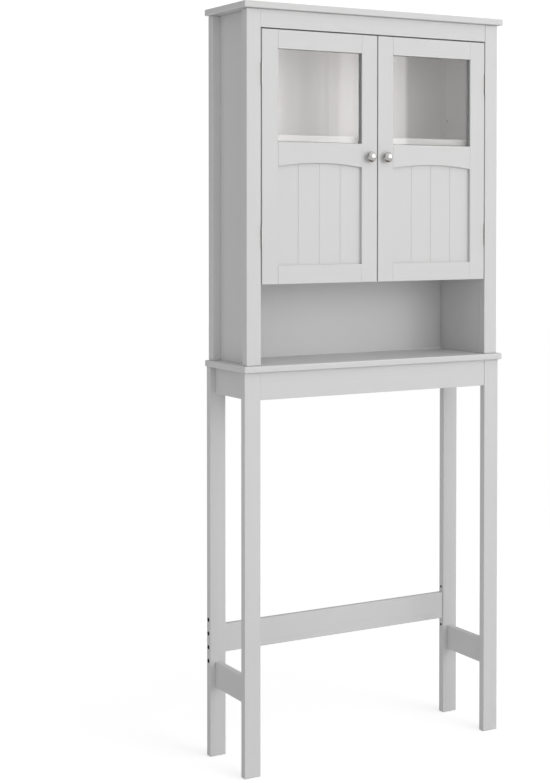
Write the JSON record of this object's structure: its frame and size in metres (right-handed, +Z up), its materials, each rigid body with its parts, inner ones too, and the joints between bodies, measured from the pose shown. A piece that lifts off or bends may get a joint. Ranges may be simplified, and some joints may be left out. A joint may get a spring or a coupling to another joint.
{
  "type": "over-toilet storage cabinet",
  "caption": "Free-standing painted cabinet on tall open legs that stands over a toilet, with an open niche and a cupboard closed by two glazed, beadboarded doors.",
  "frame": {"origin": "on the floor, under the middle of the cabinet's bounding box, door knobs included", "axes": "+Z up, +X to the right seen from the front, +Y from the front (doors and knobs) to the back that stands to the wall"},
  "size_m": [0.71, 0.202, 1.73],
  "materials": {
    "painted_board": "light grey satin paint on smooth board",
    "clear_glass": "clear float glass",
    "brushed_nickel": "brushed nickel plate",
    "zinc_steel": "zinc-plated steel",
    "dark_plastic": "moulded grey plastic"
  },
  "bodies": {
    "carcass": {"left_front_leg": "painted_board", "right_front_leg": "painted_board", "left_rear_leg": "painted_board", "right_rear_leg": "painted_board", "front_apron": "painted_board", "rear_apron": "painted_board", "left_side_apron": "painted_board", "right_side_apron": "painted_board", "left_side_stretcher": "painted_board", "right_side_stretcher": "painted_board", "left_bar_bolt_lower": "zinc_steel", "right_bar_bolt_lower": "zinc_steel", "left_bar_bolt_upper": "zinc_steel", "right_bar_bolt_upper": "zinc_steel", "middle_board": "painted_board", "top_board": "painted_board", "left_front_post": "painted_board", "right_front_post": "painted_board", "left_rear_post": "painted_board", "right_rear_post": "painted_board", "left_side_panel": "painted_board", "right_side_panel": "painted_board", "back_panel": "painted_board", "case_top_rail": "painted_board", "case_floor": "painted_board", "magnet_catch": "dark_plastic", "left_shelf_pin_front": "brushed_nickel", "right_shelf_pin_front": "brushed_nickel", "left_shelf_pin_rear": "brushed_nickel", "right_shelf_pin_rear": "brushed_nickel", "left_upper_hinge_post_leaf": "brushed_nickel", "right_upper_hinge_post_leaf": "brushed_nickel", "left_lower_hinge_post_leaf": "brushed_nickel", "right_lower_hinge_post_leaf": "brushed_nickel"},
    "left_door": {"left_door_hinge_stile": "painted_board", "left_door_meeting_stile": "painted_board", "left_door_top_rail": "painted_board", "left_door_middle_rail": "painted_board", "left_door_bottom_rail": "painted_board", "left_door_glass": "clear_glass", "left_door_beadboard": "painted_board", "left_door_knob": "brushed_nickel", "left_door_knob_screw": "zinc_steel", "left_door_strike": "zinc_steel", "left_upper_hinge_door_leaf": "brushed_nickel", "left_lower_hinge_door_leaf": "brushed_nickel"},
    "right_door": {"right_door_hinge_stile": "painted_board", "right_door_meeting_stile": "painted_board", "right_door_top_rail": "painted_board", "right_door_middle_rail": "painted_board", "right_door_bottom_rail": "painted_board", "right_door_glass": "clear_glass", "right_door_beadboard": "painted_board", "right_door_knob": "brushed_nickel", "right_door_knob_screw": "zinc_steel", "right_door_strike": "zinc_steel", "right_upper_hinge_door_leaf": "brushed_nickel", "right_lower_hinge_door_leaf": "brushed_nickel"},
    "shelf": {"adjustable_shelf": "painted_board"},
    "rear_bar": {"rear_bar": "painted_board"}
  },
  "joints": [
    {"name": "left_door_hinge", "type": "hinge", "parent": "carcass", "child": "left_door", "pos_m": [-0.3076, -0.087, 1.3915], "axis": [0, 0, -1], "range_deg": [0, 170]},
    {"name": "right_door_hinge", "type": "hinge", "parent": "carcass", "child": "right_door", "pos_m": [0.3076, -0.087, 1.3915], "axis": [0, 0, 1], "range_deg": [0, 170]},
    {"name": "shelf_lift", "type": "slide", "parent": "carcass", "child": "shelf", "axis": [0, 0, 1], "range_m": [0, 0.07]},
    {"name": "rear_bar_height", "type": "slide", "parent": "carcass", "child": "rear_bar", "axis": [0, 0, 1], "range_m": [-0.032, 0.032]}
  ]
}
